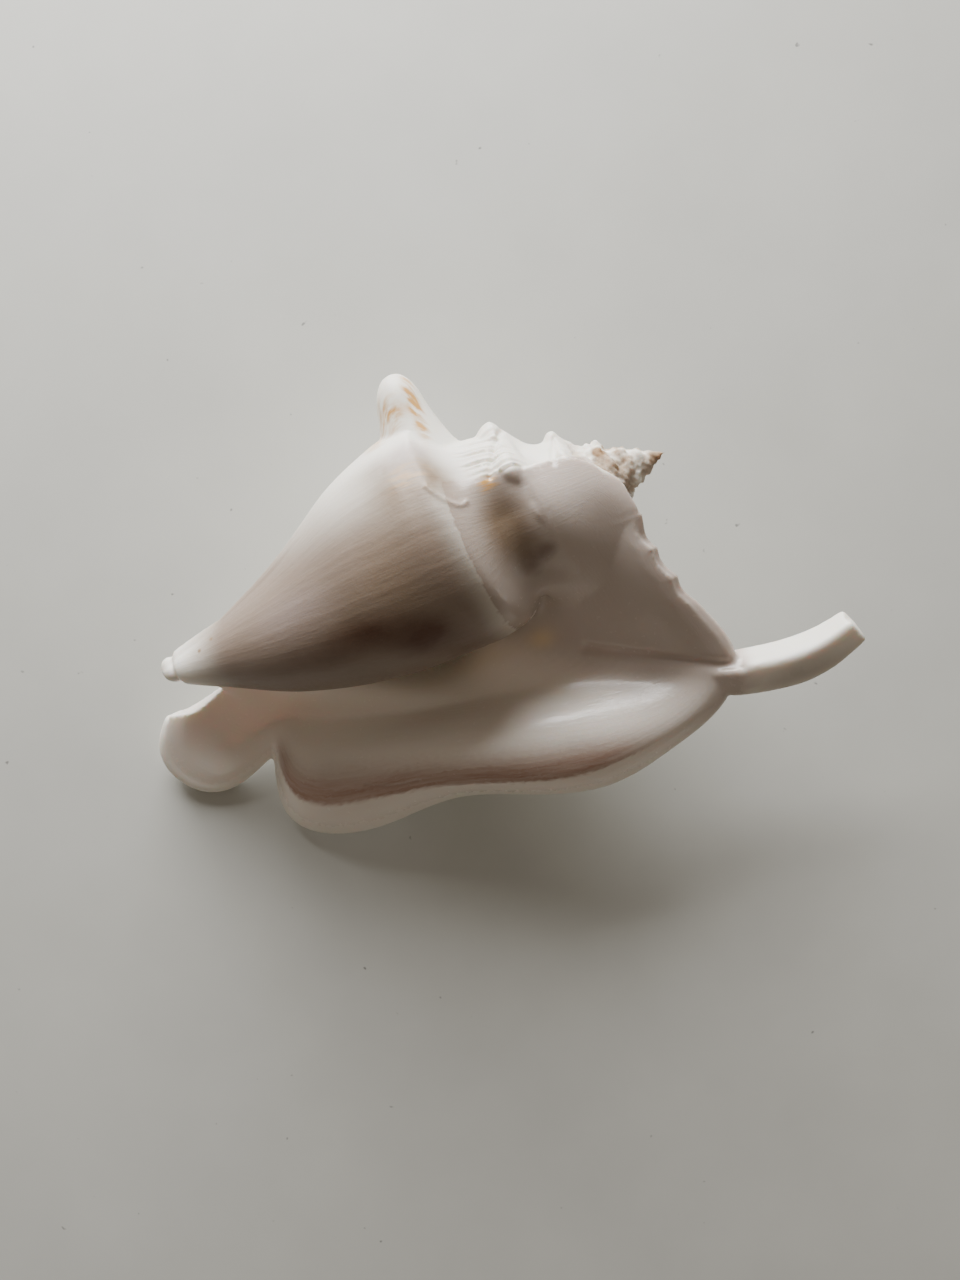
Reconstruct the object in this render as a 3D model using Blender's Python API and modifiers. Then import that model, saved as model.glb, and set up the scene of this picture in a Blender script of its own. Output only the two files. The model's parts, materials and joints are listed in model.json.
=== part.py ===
"""Rooster-tail conch shell, lying on its back with the aperture up.

The shell is worked out in its own frame, in millimetres: t runs along the coiling axis from the
apex to the front end, p points to the outer lip's side and h points up, to the aperture's side.
A growth angle turns from p towards h as the shell grows, and it is 0 where the lip flares.
"""

import math

import bmesh
import bpy
import numpy as np
from mathutils import Matrix, Vector

MM = 0.001

# Coiling: the shoulder's place and radius at one growth angle fix every other whorl
AXIS_LENGTH = 129.5
WHORL_GROWTH = 1.55
SHOULDER_T = 52.0
SHOULDER_R = 28.5
SHOULDER_ANGLE = -180.0
WHORLS = 9
SUTURE_SHARE = 0.645

# Greatest thickness of the lip, and the rim, the tail and the pad over the spire
WALL = 5.0
RIM_RADIUS = 2.4
TAIL_RADIUS = 4.2
PAD_THICKNESS = 2.6

# Pose on the table: the way the axis points, how far the front end dips and how far the lip rises
AXIS_HEADING = math.radians(202.7)
FRONT_DIP = math.radians(10.2)
LIP_RISE = math.radians(-0.3)
WORN_DEPTH = 0.35

# Surface
FUSE_VOXEL = 1.0
SMOOTH_ROUNDS = 5
FACE_SHARE = 0.065

# Whorl radius as a share of the shoulder's, against share of the way to the shoulder: the ramp
RAMP = ((0.55, 0.0), (0.60, 0.60), (0.66, 0.67), (0.80, 0.725), (0.90, 0.80), (0.96, 0.90), (1.0, 1.0))
# and from the shoulder (0) to the front end (1), on the keel side, beside the aperture and on the pillar
TAPER_KEEL = ((0.0, 1.0), (0.07, 1.0), (0.18, 0.93), (0.29, 0.82), (0.41, 0.64), (0.53, 0.46), (0.66, 0.31),
              (0.84, 0.13), (0.95, 0.06), (1.0, 0.0))
TAPER_APERTURE = ((0.0, 1.0), (0.10, 1.06), (0.26, 1.06), (0.41, 1.0), (0.62, 0.80), (0.84, 0.42),
                  (0.93, 0.26), (0.97, 0.17), (0.99, 0.12), (1.0, 0.0))
TAPER_PILLAR = ((0.0, 1.0), (0.10, 0.98), (0.25, 0.80), (0.45, 0.58), (0.65, 0.42), (0.85, 0.28),
                (0.93, 0.20), (0.97, 0.15), (0.99, 0.11), (1.0, 0.0))

# Knobs and bumps on older whorls: growth angle, height, half-width in degrees, half-length
OLD_KNOBS = ((-405, 3.6, 13, 4.0), (-450, 4.2, 13, 4.0), (-497, 4.4, 13, 3.8), (-545, 3.5, 18, 4.6),
             (-600, 2.2, 14, 3.6), (-638, 1.0, 12, 3.4), (-690, 2.6, 13, 3.0), (-735, 2.8, 13, 2.8),
             (-780, 2.6, 13, 2.6), (-825, 2.5, 13, 2.6), (-865, 2.4, 13, 2.4), (-905, 2.7, 16, 2.9),
             (-950, 2.0, 13, 2.2), (-1000, 1.0, 14, 2.4))
KNOB_BLUNTNESS = 1.5
BEADS_PER_TURN = 9
BEAD_HEIGHT = 5.0
FIRST_BEAD_ANGLE = -1260.0
BEADS_END_ANGLE = -980.0
# Where the beads sit on the way to their shoulder, and their half-length
BEAD_SHARE = 0.97
BEAD_LENGTH = 0.075

# Knobs on the last whorl's shoulder: growth angle, height, base radius, tip radius
LAST_KNOBS = ((-184, 12.5, 11.5, 4.8), (-122, 9.5, 8.2, 3.2), (-68, 3.3, 7.0, 3.6))
# How far the knobs' tips lean towards the apex
LEAN = 1.5

# The flared lip's cage, from the suture to the canal: its throat, its trough, its crest, the brow that
# ends its slope and its margin
THROAT = ((31, 13, 5), (30, 20, 0), (30, 27, -5), (32, 33, -9), (37, 37, -11), (45, 37, -12), (54, 38, -12),
          (65, 36, -12), (78, 33, -13), (92, 28, -16), (101, 23, -17), (106, 20, -16), (112, 18, -14),
          (115, 13, -10), (115, 8, -6))
TROUGH = ((23, 8, 10), (21, 20, 4), (20, 31, -4), (18, 42, -11), (20, 49, -12), (32, 45, -9), (46, 43, -8),
          (61, 39, -8), (78, 35, -10), (98, 30, -15), (107, 26, -18), (109, 21, -17), (121, 23, -18),
          (125, 15, -13), (121, 9, -9))
CREST = ((18, 6, 9), (16, 21, 4), (14, 34, -3), (10, 46, -10), (15, 53, -10), (30, 54, -5), (43, 50, -2),
         (58, 46, -1), (79, 41, -3), (100, 37, -8), (113, 34, -12), (110, 21, -15), (129, 27, -17),
         (133, 18, -14), (127, 10.5, -10))
BROW = ((16, 5, 8), (13, 21, 5), (11, 34, -2), (6, 47, -9), (13, 56, -11), (28, 59, -6), (42, 61, -5),
        (57, 58, -5), (78, 49, -8), (101, 50, -13), (121, 43, -16), (109, 20, -15), (133, 33, -18),
        (139, 19, -14), (131, 11, -10))
MARGIN = ((14, 4, 8), (10, 21, 5), (8, 34, -2), (2, 48, -9), (11, 58, -13), (25, 61, -11), (40, 65, -10),
          (56, 61, -10), (78, 51, -13), (101, 56, -19), (127, 47, -21), (108, 20, -15), (136, 36.5, -20),
          (146, 19, -14), (136, 10, -11))
# Share of the full thickness that the lip has at each of those rows
WALL_SHARE = 0.55
LIP_SHARES = (0.6, 0.7, 0.9, 1.0, 0.85)
# The same growth lines on the whorl: share of the way from the suture to the front end
STATIONS = (0.0, 0.03, 0.06, 0.09, 0.13, 0.19, 0.27, 0.37, 0.49, 0.63, 0.74, 0.81, 0.87, 0.94, 0.985)
WALL_ANGLES = (-215, -190, -165, -140, -115, -90, -65, -42, -22)

# The tail's middle line and the share of its radius along it
TAIL = ((16, 49, -11, 0.5), (3, 52.5, -11, 1.1), (-8, 54.5, -10, 1.12), (-16, 54, -9, 1.0),
        (-24, 51.5, -8, 0.85))

# The glaze's pad over the spire, in rows from the ramp to the wing's corner, each from the coil to the wing
PAD = (((37, -3, 14), (37, 3, 13.5), (37, 10, 10), (37, 16, 4), (36, 22, -5)),
       ((33, -6, 14.5), (33, 2, 14.5), (33, 10, 11), (33, 17, 4.5), (33, 23, -4)),
       ((28, -8, 14.5), (28, 0, 18), (28, 8, 15), (28, 16, 7), (28, 24, -3)),
       ((23, -7, 12), (23, 1, 14.5), (23, 9, 12.5), (23, 17, 6.5), (23, 25, -1)),
       ((18, -6, 11), (18, 1, 12.5), (18, 9, 10.5), (18, 17, 6), (18, 25, 0)),
       ((12, 2, 8), (11, 7, 8), (10, 12, 6.5), (10, 18, 4), (12, 26, 0)))


def smoothstep(low, high, x):
    s = np.clip((x - low) / (high - low), 0.0, 1.0)
    return s * s * (3.0 - 2.0 * s)


def curve_through(points, x):
    """A smooth curve through points, with no overshoot between them."""
    px, py = np.array(points, dtype=float).T
    step = np.diff(px)
    slope = np.diff(py) / step
    before, after = slope[:-1], slope[1:]
    tangent = np.zeros(len(px))
    tangent[1:-1] = np.where(before * after > 0, 2 * before * after / (before + after + 1e-12), 0)
    tangent[0], tangent[-1] = slope[0], slope[-1]
    x = np.clip(x, px[0], px[-1])
    i = np.clip(np.searchsorted(px, x, side="right") - 1, 0, len(step) - 1)
    u = (x - px[i]) / step[i]
    v = 1 - u
    return (v * v * (1 + 2 * u) * py[i] + u * v * v * step[i] * tangent[i]
            + u * u * (3 - 2 * u) * py[i + 1] - u * u * v * step[i] * tangent[i + 1])


def growth(angle):
    return WHORL_GROWTH ** ((angle - SHOULDER_ANGLE) / 360.0)


def old_knobs(angle, t):
    """Height of the knobs on the spire's whorls, and of the beads on the earliest ones."""
    height = np.zeros(np.broadcast(angle, t).shape)
    for at, tall, wide, long in OLD_KNOBS:
        apart = ((angle - at) / wide) ** 2 + ((t - SHOULDER_T * growth(at)) / long) ** 2
        height += tall * np.exp(-(apart ** KNOB_BLUNTNESS))
    size = growth(angle)
    share = t / (SHOULDER_T * size)
    beads = np.clip(np.cos(np.radians((angle - FIRST_BEAD_ANGLE) * BEADS_PER_TURN)), 0, 1) ** 1.5
    early = smoothstep(BEADS_END_ANGLE, BEADS_END_ANGLE - 20.0, angle)
    return height + early * BEAD_HEIGHT * size * beads * np.exp(-(((share - BEAD_SHARE) / BEAD_LENGTH) ** 2))


def whorl_radius(angle, t):
    """Radius of the whorl that has grown to this angle, at t along the axis."""
    shoulder_t = SHOULDER_T * growth(angle)
    x = (t - shoulder_t) / (AXIS_LENGTH - shoulder_t)
    keel = curve_through(TAPER_KEEL, x)
    beside = keel + (curve_through(TAPER_APERTURE, x) - keel) * smoothstep(-205.0, -335.0, angle)
    taper = beside + (curve_through(TAPER_PILLAR, x) - beside) * smoothstep(-365.0, -430.0, angle)
    share = np.where(t < shoulder_t, curve_through(RAMP, t / shoulder_t), taper)
    return SHOULDER_R * growth(angle) * share + old_knobs(angle, t)


def body_radius(direction, t):
    """Outer radius of the filled body, in a direction round the axis from -540 to -180."""
    radius = whorl_radius(direction, t)
    radius += (whorl_radius(direction + 360.0, t) - radius) * smoothstep(-505.0, -540.0, direction)
    for turn in range(1, WHORLS):
        radius = np.maximum(radius, whorl_radius(direction - 360.0 * turn, t))
    return radius


def body():
    """Spire, body whorl and pillar as one filled solid: a ball reshaped ring by ring."""
    mesh = bmesh.new()
    bmesh.ops.create_uvsphere(mesh, u_segments=120, v_segments=150, radius=1.0)
    ball = np.array([v.co for v in mesh.verts])
    along = AXIS_LENGTH * np.arccos(np.clip(ball[:, 2], -1.0, 1.0)) / math.pi
    direction = np.degrees(np.arctan2(ball[:, 1], ball[:, 0])) % 360.0 - 540.0
    radius = body_radius(direction, along)
    radius = np.where(np.hypot(ball[:, 0], ball[:, 1]) < 1e-4, 0.0, radius)
    for v, t, a, r in zip(mesh.verts, along, np.radians(direction), radius):
        v.co = (t, r * math.cos(a), r * math.sin(a))
    bmesh.ops.recalc_face_normals(mesh, faces=mesh.faces)
    return mesh


def wall_row(angle):
    """Cage points along one growth line of the last half whorl."""
    suture = SHOULDER_T * growth(angle) * SUTURE_SHARE
    t = suture + np.array(STATIONS) * (AXIS_LENGTH - suture)
    radius = whorl_radius(float(angle), t) - WALL * WALL_SHARE / 2
    a = math.radians(angle)
    return [(x, r * math.cos(a), r * math.sin(a)) for x, r in zip(t, radius)]


def cage(rows):
    """A coarse sheet through rows of points."""
    mesh = bmesh.new()
    grid = [[mesh.verts.new(p) for p in row] for row in rows]
    for first, second in zip(grid, grid[1:]):
        for i in range(len(first) - 1):
            mesh.faces.new((first[i], first[i + 1], second[i + 1], second[i]))
    bmesh.ops.recalc_face_normals(mesh, faces=mesh.faces)
    return mesh


def knob(angle, height, base, tip):
    """A rounded cone standing out from the last whorl's shoulder: the hull of two balls."""
    a = math.radians(angle)
    out = Vector((0.0, math.cos(a), math.sin(a)))
    shoulder = Vector((SHOULDER_T * growth(angle), 0.0, 0.0))
    surface = SHOULDER_R * growth(angle)
    lean = Vector((-LEAN, 0.0, 0.0))
    mesh = bmesh.new()
    for radius, distance, aside in ((base, surface - base * 0.9, 0.0), (tip, surface + height - tip, 1.0)):
        place = Matrix.Translation(shoulder + out * distance + lean * aside)
        bmesh.ops.create_uvsphere(mesh, u_segments=32, v_segments=16, radius=radius, matrix=place)
    hull = bmesh.ops.convex_hull(mesh, input=mesh.verts)
    bmesh.ops.delete(mesh, geom=hull["geom_interior"] + hull["geom_unused"], context="VERTS")
    return mesh


def add_object(name, mesh_data, collection):
    mesh = bpy.data.meshes.new(name)
    mesh_data.to_mesh(mesh)
    mesh_data.free()
    obj = bpy.data.objects.new(name, mesh)
    collection.objects.link(obj)
    return obj


def add_tube(name, points, radii, thickness, collection):
    """A round bar along a smooth curve, as thick at each point as its share says."""
    curve = bpy.data.curves.new(name, "CURVE")
    curve.dimensions = "3D"
    curve.bevel_depth = thickness
    curve.bevel_resolution = 3
    curve.use_fill_caps = True
    spline = curve.splines.new("NURBS")
    spline.points.add(len(points) - 1)
    for place, co, radius in zip(spline.points, points, radii):
        place.co = (*co, 1.0)
        place.radius = radius
    spline.order_u = 4
    spline.use_endpoint_u = True
    obj = bpy.data.objects.new(name, curve)
    collection.objects.link(obj)
    return obj


def join_forms(forms):
    """All the forms' finished meshes as one, and the forms removed."""
    bpy.context.view_layer.update()
    graph = bpy.context.evaluated_depsgraph_get()
    joined = bmesh.new()
    for obj in forms:
        mesh = bpy.data.meshes.new_from_object(obj.evaluated_get(graph))
        joined.from_mesh(mesh)
        bpy.data.meshes.remove(mesh)
    for obj in forms:
        bpy.data.objects.remove(obj)
    return joined


def add_sheet(name, rows, thickness, shares, collection):
    """A smooth sheet through a cage of rows, with a thickness that differs from row to row."""
    sheet = add_object(name, cage(rows), collection)
    thick = sheet.vertex_groups.new(name="thick")
    for number, share in enumerate(shares):
        across = len(rows[number])
        thick.add(list(range(number * across, (number + 1) * across)), share, "REPLACE")
    rounding = sheet.modifiers.new("rounding", "SUBSURF")
    rounding.levels = rounding.render_levels = 2
    rounding.boundary_smooth = "PRESERVE_CORNERS"
    wall = sheet.modifiers.new("wall", "SOLIDIFY")
    wall.thickness = thickness
    wall.offset = 0.0
    wall.vertex_group = "thick"
    return sheet


def build_forms(collection):
    rows = [wall_row(angle) for angle in WALL_ANGLES] + [THROAT, TROUGH, CREST, BROW, MARGIN]
    shares = (WALL_SHARE,) * len(WALL_ANGLES) + LIP_SHARES
    forms = [add_object("body_form", body(), collection),
             add_sheet("lip_form", rows, WALL, shares, collection),
             add_sheet("pad_form", PAD, PAD_THICKNESS, (1.0,) * len(PAD), collection)]
    for row in LAST_KNOBS:
        forms.append(add_object("knob_form", knob(*row), collection))
    thin_ends = [min(1.0, 0.45 + 0.3 * min(i, len(MARGIN) - 1 - i)) for i in range(len(MARGIN))]
    forms.append(add_tube("rim_form", MARGIN, thin_ends, RIM_RADIUS, collection))
    forms.append(add_tube("tail_form", [p[:3] for p in TAIL], [p[3] for p in TAIL], TAIL_RADIUS, collection))
    return forms


def fused(joined, collection):
    """One skin over everything, lightly smoothed and thinned to fewer faces."""
    shell = add_object("fusing", joined, collection)
    skin = shell.modifiers.new("fuse", "REMESH")
    skin.mode = "VOXEL"
    skin.voxel_size = FUSE_VOXEL * MM
    smooth = shell.modifiers.new("smooth", "SMOOTH")
    smooth.iterations = SMOOTH_ROUNDS
    smooth.factor = 0.5
    thin = shell.modifiers.new("thin", "DECIMATE")
    thin.ratio = FACE_SHARE
    thin.use_collapse_triangulate = True
    return join_forms([shell])


def laid_down(mesh):
    """Wears the three spots that the shell lies on flat, and centres it on the table."""
    low = min(v.co.z for v in mesh.verts) + WORN_DEPTH * MM
    geometry = mesh.verts[:] + mesh.edges[:] + mesh.faces[:]
    cut = bmesh.ops.bisect_plane(mesh, geom=geometry, plane_co=(0, 0, low), plane_no=(0, 0, 1),
                                 clear_inner=True)
    rims = [e for e in cut["geom_cut"] if isinstance(e, bmesh.types.BMEdge)]
    bmesh.ops.triangle_fill(mesh, edges=rims, use_beauty=True)
    bmesh.ops.triangulate(mesh, faces=mesh.faces)
    bmesh.ops.recalc_face_normals(mesh, faces=mesh.faces)
    corners = np.array([v.co for v in mesh.verts])
    least, most = corners.min(axis=0), corners.max(axis=0)
    to_table = (-(least[0] + most[0]) / 2, -(least[1] + most[1]) / 2, -least[2])
    bmesh.ops.translate(mesh, vec=to_table, verts=mesh.verts)
    return mesh


def shell_material():
    material = bpy.data.materials.new("shell")
    material.use_nodes = True
    surface = material.node_tree.nodes["Principled BSDF"]
    surface.inputs["Base Color"].default_value = (0.70, 0.64, 0.54, 1.0)
    surface.inputs["Roughness"].default_value = 0.45
    return material


def main():
    for obj in list(bpy.data.objects):
        bpy.data.objects.remove(obj)
    collection = bpy.data.collections.new("conch_shell")
    bpy.context.scene.collection.children.link(collection)

    joined = join_forms(build_forms(collection))
    bmesh.ops.scale(joined, vec=(MM, MM, MM), verts=joined.verts)
    dip = Matrix.Rotation(FRONT_DIP, 4, "Y") @ Matrix.Rotation(LIP_RISE, 4, "X")
    turn = Matrix.Rotation(AXIS_HEADING, 4, "Z") @ dip
    bmesh.ops.transform(joined, matrix=turn, verts=joined.verts)
    shell = add_object("conch_shell", laid_down(fused(joined, collection)), collection)
    shell.data.shade_smooth()
    shell.data.materials.append(shell_material())


main()
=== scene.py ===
"""Conch shell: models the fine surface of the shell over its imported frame, colours it and sets the stage.

The shell is shaped in its own frame, in millimetres: t runs along the coiling axis from the apex to
the front end, p points to the outer lip's side and h points up, to the aperture's side. A growth
angle turns from p towards h as the shell grows, and it is 0 where the lip flares.
"""

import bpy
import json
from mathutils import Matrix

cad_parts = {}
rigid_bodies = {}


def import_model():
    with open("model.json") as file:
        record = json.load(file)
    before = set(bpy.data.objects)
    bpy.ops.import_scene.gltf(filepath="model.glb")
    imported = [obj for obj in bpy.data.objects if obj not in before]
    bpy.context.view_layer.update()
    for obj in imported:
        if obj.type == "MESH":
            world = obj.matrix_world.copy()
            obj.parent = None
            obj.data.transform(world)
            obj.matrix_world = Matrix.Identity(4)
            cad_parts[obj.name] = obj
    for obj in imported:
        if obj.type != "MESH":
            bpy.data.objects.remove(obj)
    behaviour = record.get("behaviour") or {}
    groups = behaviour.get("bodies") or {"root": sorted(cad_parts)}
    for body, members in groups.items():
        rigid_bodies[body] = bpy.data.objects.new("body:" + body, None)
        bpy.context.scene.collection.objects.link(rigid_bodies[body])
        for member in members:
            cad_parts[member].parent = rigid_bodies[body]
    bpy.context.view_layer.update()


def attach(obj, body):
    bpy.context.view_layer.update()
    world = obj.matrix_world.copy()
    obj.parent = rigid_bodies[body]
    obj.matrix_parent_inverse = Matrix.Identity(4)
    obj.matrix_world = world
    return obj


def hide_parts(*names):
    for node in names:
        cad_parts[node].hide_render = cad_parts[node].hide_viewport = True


bl_info = {
    "name": "Conch Shell",
    "version": (1, 0, 0),
    "blender": (4, 5, 0),
    "location": "3D View > Sidebar > Conch Shell",
    "description": "Models a rooster-tail conch shell lying on its back",
    "category": "Add Mesh",
}

import json
import math

import bpy
import numpy as np
from bpy.props import FloatProperty, FloatVectorProperty, IntProperty, PointerProperty
from bpy.types import Operator, Panel, PropertyGroup
from mathutils import Matrix, Vector, kdtree, noise

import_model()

MM = 0.001
SHELL = "shell_surface"
GUIDE = "lip_guide"

# Whorl radius as a share of the shoulder's, against share of the way to the shoulder: the ramp
RAMP = ((0.55, 0.0), (0.60, 0.60), (0.66, 0.67), (0.80, 0.725), (0.90, 0.80), (0.96, 0.90), (1.0, 1.0))
# and from the shoulder (0) to the front end (1), on the keel side, beside the aperture and on the pillar
TAPER_KEEL = ((0.0, 1.0), (0.07, 1.0), (0.18, 0.93), (0.29, 0.82), (0.41, 0.64), (0.53, 0.46), (0.66, 0.31),
              (0.84, 0.13), (0.95, 0.06), (1.0, 0.0))
TAPER_APERTURE = ((0.0, 1.0), (0.10, 1.06), (0.26, 1.06), (0.41, 1.0), (0.62, 0.80), (0.84, 0.42),
                  (0.93, 0.26), (0.97, 0.17), (0.99, 0.12), (1.0, 0.0))
TAPER_PILLAR = ((0.0, 1.0), (0.10, 0.98), (0.25, 0.80), (0.45, 0.58), (0.65, 0.42), (0.85, 0.28),
                (0.93, 0.20), (0.97, 0.15), (0.99, 0.11), (1.0, 0.0))

# Knobs and bumps on older whorls: growth angle, height, half-width in degrees, half-length
OLD_KNOBS = ((-405, 3.6, 13, 4.0), (-450, 4.2, 13, 4.0), (-497, 4.4, 13, 3.8), (-545, 3.5, 18, 4.6),
             (-600, 2.2, 14, 3.6), (-638, 1.0, 12, 3.4), (-690, 2.6, 13, 3.0), (-735, 2.8, 13, 2.8),
             (-780, 2.6, 13, 2.6), (-825, 2.5, 13, 2.6), (-865, 2.4, 13, 2.4), (-905, 2.7, 16, 2.9),
             (-950, 2.0, 13, 2.2), (-1000, 1.0, 14, 2.4))
KNOB_BLUNTNESS = 1.5
BEADS_PER_TURN = 9
BEAD_HEIGHT = 5.0
FIRST_BEAD_ANGLE = -1260.0
BEADS_END_ANGLE = -980.0
# Where the beads sit on the way to their shoulder, and their half-length
BEAD_SHARE = 0.97
BEAD_LENGTH = 0.075

# Knobs on the last whorl's shoulder: growth angle, height, base radius, tip radius
LAST_KNOBS = ((-184, 12.5, 11.5, 4.8), (-122, 9.5, 8.2, 3.2), (-68, 3.3, 7.0, 3.6))
# Share of its length at which a knob's tip starts to round, and how far the tip leans towards the apex
KNOB_ROUNDING = 0.72
LEAN = 1.5

# The flared lip's cage, from the suture to the canal: its throat, its trough, its crest, the brow that
# ends its slope and its margin
THROAT = ((31, 13, 5), (30, 20, 0), (30, 27, -5), (32, 33, -9), (37, 37, -11), (45, 37, -12), (54, 38, -12),
          (65, 36, -12), (78, 33, -13), (92, 28, -16), (101, 23, -17), (106, 20, -16), (112, 18, -14),
          (115, 13, -10), (115, 8, -6))
TROUGH = ((23, 8, 10), (21, 20, 4), (20, 31, -4), (18, 42, -11), (20, 49, -12), (32, 45, -9), (46, 43, -8),
          (61, 39, -8), (78, 35, -10), (98, 30, -15), (107, 26, -18), (109, 21, -17), (121, 23, -18),
          (125, 15, -13), (121, 9, -9))
CREST = ((18, 6, 9), (16, 21, 4), (14, 34, -3), (10, 46, -10), (15, 53, -10), (30, 54, -5), (43, 50, -2),
         (58, 46, -1), (79, 41, -3), (100, 37, -8), (113, 34, -12), (110, 21, -15), (129, 27, -17),
         (133, 18, -14), (127, 10.5, -10))
BROW = ((16, 5, 8), (13, 21, 5), (11, 34, -2), (6, 47, -9), (13, 56, -11), (28, 59, -6), (42, 61, -5),
        (57, 58, -5), (78, 49, -8), (101, 50, -13), (121, 43, -16), (109, 20, -15), (133, 33, -18),
        (139, 19, -14), (131, 11, -10))
MARGIN = ((14, 4, 8), (10, 21, 5), (8, 34, -2), (2, 48, -9), (11, 58, -13), (25, 61, -11), (40, 65, -10),
          (56, 61, -10), (78, 51, -13), (101, 56, -19), (127, 47, -21), (108, 20, -15), (136, 36.5, -20),
          (146, 19, -14), (136, 10, -11))
# Share of the full thickness that the whorl's wall has, and that the lip has at each of those rows
WALL_SHARE = 0.55
LIP_SHARES = (0.6, 0.7, 0.9, 1.0, 0.85)
# Share of its full radius that the rim has along the margin
RIM_SHARES = ((0.0, 0.35), (0.12, 0.5), (0.28, 0.9), (0.36, 1.0), (0.9, 1.0), (1.0, 0.6))
# The same growth lines on the whorl: share of the way from the suture to the front end
STATIONS = (0.0, 0.03, 0.06, 0.09, 0.13, 0.19, 0.27, 0.37, 0.49, 0.63, 0.74, 0.81, 0.87, 0.94, 0.985)
WALL_ANGLES = (-215, -190, -165, -140, -115, -90, -65, -42, -22)
SUTURE_SHARE = 0.645

# The tail's middle line and the share of its radius along it
TAIL = ((16, 49, -11), (3, 52.5, -11), (-8, 54.5, -10), (-16, 54, -9), (-24, 51.5, -8))
TAIL_SHARES = ((0.0, 0.5), (0.25, 1.1), (0.5, 1.12), (0.7, 1.05), (0.85, 0.95), (1.0, 0.85))
# The tail's flat sides: the way each faces and its distance from the middle line, and how sharp the
# corners between them are
TAIL_SIDES = ((58, 0.92), (150, 0.85), (235, 0.95), (320, 1.0))
TAIL_CORNERS = 6

# Where the earlier whorls' glaze begins on the ramp and the spire: p against t
GLAZE_EDGE = ((8, 11), (10, 7), (14, 0), (17, -6), (28, -7.5), (37, -9), (46, -12))
# The glaze's pad over the spire, in rows from the ramp to the wing's corner, each from the coil to the
# wing, and its thickness
PAD = (((37, -3, 14), (37, 3, 13.5), (37, 10, 10), (37, 16, 4), (36, 22, -5)),
       ((33, -6, 14.5), (33, 2, 14.5), (33, 10, 11), (33, 17, 4.5), (33, 23, -4)),
       ((28, -8, 14.5), (28, 0, 18), (28, 8, 15), (28, 16, 7), (28, 24, -3)),
       ((23, -7, 12), (23, 1, 14.5), (23, 9, 12.5), (23, 17, 6.5), (23, 25, -1)),
       ((18, -6, 11), (18, 1, 12.5), (18, 9, 10.5), (18, 17, 6), (18, 25, 0)),
       ((12, 2, 8), (11, 7, 8), (10, 12, 6.5), (10, 18, 4), (12, 26, 0)))
PAD_THICKNESS = 2.6
# The hollow beside the pad's first ridge: its middle and half-length along t, where it starts, is full,
# fades and ends along p, and its depth
HOLLOW = (35.8, 5.2, -8.5, 1.0, 12.0, 24.0, 2.4)
# The groove before the pillar's tip: its place along t, its half-width and its depth
TIP_GROOVE = (125.6, 0.9, 0.7)
# Lines along the upper side, seen from above: t and p along each, rise of the surface and half-width
LINES = (
    # the fold between the wing and the lip
    (((34, 34), (27, 38.5), (16, 44.5), (3, 51)), -0.9, 1.3),
    # the sutures beside the two knobs that the wear has opened
    (((30.5, -20), (32.5, -17.5), (34.5, -13), (36.5, -8.5)), -0.7, 0.6),
    (((21.5, -12.5), (22.3, -10), (23, -6.5)), -0.6, 0.6),
    # the broken start of the outer layer, and a fine crack in the lip's edge
    (((48.8, -11.7), (46.7, -7.8), (44.2, -5.0), (42.6, -5.6)), 0.35, 0.45),
    (((96, 44.5), (90, 47.4), (83, 48)), -0.35, 0.5),
)
# Where the last shoulder meets the ramp and the pad meets the lip, and how far these steps are softened
CREASES = (((49, -17), (46, -4), (44.4, 8), (42.5, 21), (40.5, 30)), ((33, 14), (35, 20), (39, 25), (42, 30)))
CREASE_WIDTH = 6.5
SOFTENING_ROUNDS = 110
# The lines and the softening act only above this h, so the lower side stays as it is
UPPER_SIDE = -14.0
# Hollows and swellings: place and reach along t, p and h, and rise of the surface
MOULDING = (((35, -9, 15), (6.5, 2.6, 8), 1.0), ((-24, 49, -6), (1.3, 1.3, 1.5), -1.6),
            ((30, -23, 8), (2.2, 2.2, 6), 1.3), ((22.3, -15, 7), (1.6, 1.6, 4), 0.9),
            ((18.3, -13.5, 6), (1.6, 1.6, 4), -0.7))
# The wing's edge: where its teeth begin and end along p, their spacing and their depth
TEETH = (11.0, 36.0, 7.8, 1.0)
# Heights of the wrinkles by the sutures, the growth lines, the grit and lumps on the spire, and the step
# at the glaze's edge
WRINKLES = 0.34
GROWTH_LINES = 0.015
GRIT = 0.12
LUMPS = 1.0
SMALL_LUMPS = 0.5
GLAZE_STEP = 0.5

# The window light's place and width in metres, and the tint of the light from all round
WINDOW_PLACE = (-0.15, 0.58, 0.22)
WINDOW_WIDTH = 0.50
SKY_TINT = (1.0, 0.87, 0.72, 1.0)


def length(name, description, default):
    return FloatProperty(name=name, description=description, default=default, unit="LENGTH", precision=4)


def colour(name, description, default):
    return FloatVectorProperty(name=name, description=description, default=default, subtype="COLOR", size=3,
                               min=0.0, max=1.0)


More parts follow.
